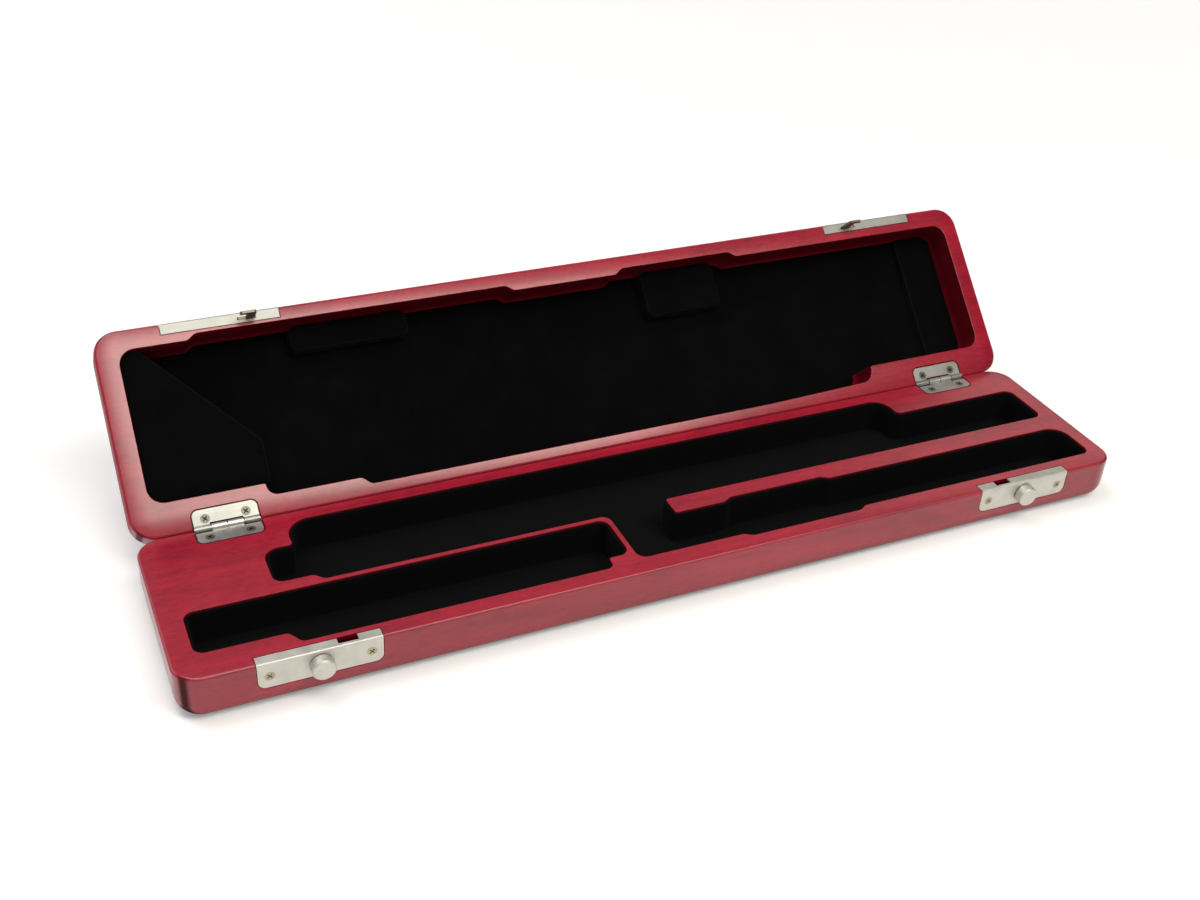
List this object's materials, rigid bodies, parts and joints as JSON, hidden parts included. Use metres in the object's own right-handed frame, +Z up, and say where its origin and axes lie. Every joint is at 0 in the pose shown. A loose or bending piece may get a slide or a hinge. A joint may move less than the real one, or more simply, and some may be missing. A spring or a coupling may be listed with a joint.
{
  "type": "flute case",
  "caption": "Slim wooden instrument case with velvet-lined bays, a lid on leaf hinges and slide latches that hold hooks.",
  "frame": {"origin": "centre of the base's flat underside", "axes": "+X along the case to the right as its latches are faced, +Y back to the hinges, +Z up"},
  "size_m": [0.42, 0.1633, 0.0864],
  "materials": {
    "lacquered_wood": "gloss",
    "black_velvet": "matte",
    "satin_nickel": "satin",
    "hinge_nickel": "satin",
    "screw_nickel": "satin",
    "plain_steel": "satin",
    "spring_steel": "satin"
  },
  "bodies": {
    "base": {"base_shell": "lacquered_wood", "main_bay_lining": "black_velvet", "foot_bay_lining": "black_velvet", "left_hinge_base_leaf": "hinge_nickel", "right_hinge_base_leaf": "hinge_nickel", "left_hinge_pin": "hinge_nickel", "right_hinge_pin": "hinge_nickel", "hinge_base_screws": "screw_nickel", "left_latch_plate": "satin_nickel", "right_latch_plate": "satin_nickel", "left_latch_keeper": "plain_steel", "right_latch_keeper": "plain_steel", "left_latch_spring": "spring_steel", "right_latch_spring": "spring_steel", "latch_plate_screws": "screw_nickel"},
    "lid": {"lid_shell": "lacquered_wood", "lid_lining": "black_velvet", "lid_left_block": "black_velvet", "lid_right_block": "black_velvet", "lid_long_pad": "black_velvet", "lid_square_pad": "black_velvet", "left_hinge_lid_leaf": "hinge_nickel", "right_hinge_lid_leaf": "hinge_nickel", "hinge_lid_screws": "screw_nickel", "left_catch_plate": "satin_nickel", "right_catch_plate": "satin_nickel", "left_catch_hook": "plain_steel", "right_catch_hook": "plain_steel", "catch_plate_screws": "screw_nickel"},
    "left_latch": {"left_latch_knob": "satin_nickel", "left_latch_slider": "plain_steel"},
    "right_latch": {"right_latch_knob": "satin_nickel", "right_latch_slider": "plain_steel"}
  },
  "joints": [
    {"name": "lid_hinge", "type": "hinge", "parent": "base", "child": "lid", "pos_m": [0, 0.04305, 0.0211], "axis": [1, 0, 0], "range_deg": [0, 135]},
    {"name": "left_latch_slide", "type": "slide", "parent": "base", "child": "left_latch", "axis": [1, 0, 0], "range_m": [0, 0.0032]},
    {"name": "right_latch_slide", "type": "slide", "parent": "base", "child": "right_latch", "axis": [-1, 0, 0], "range_m": [0, 0.0032]}
  ]
}
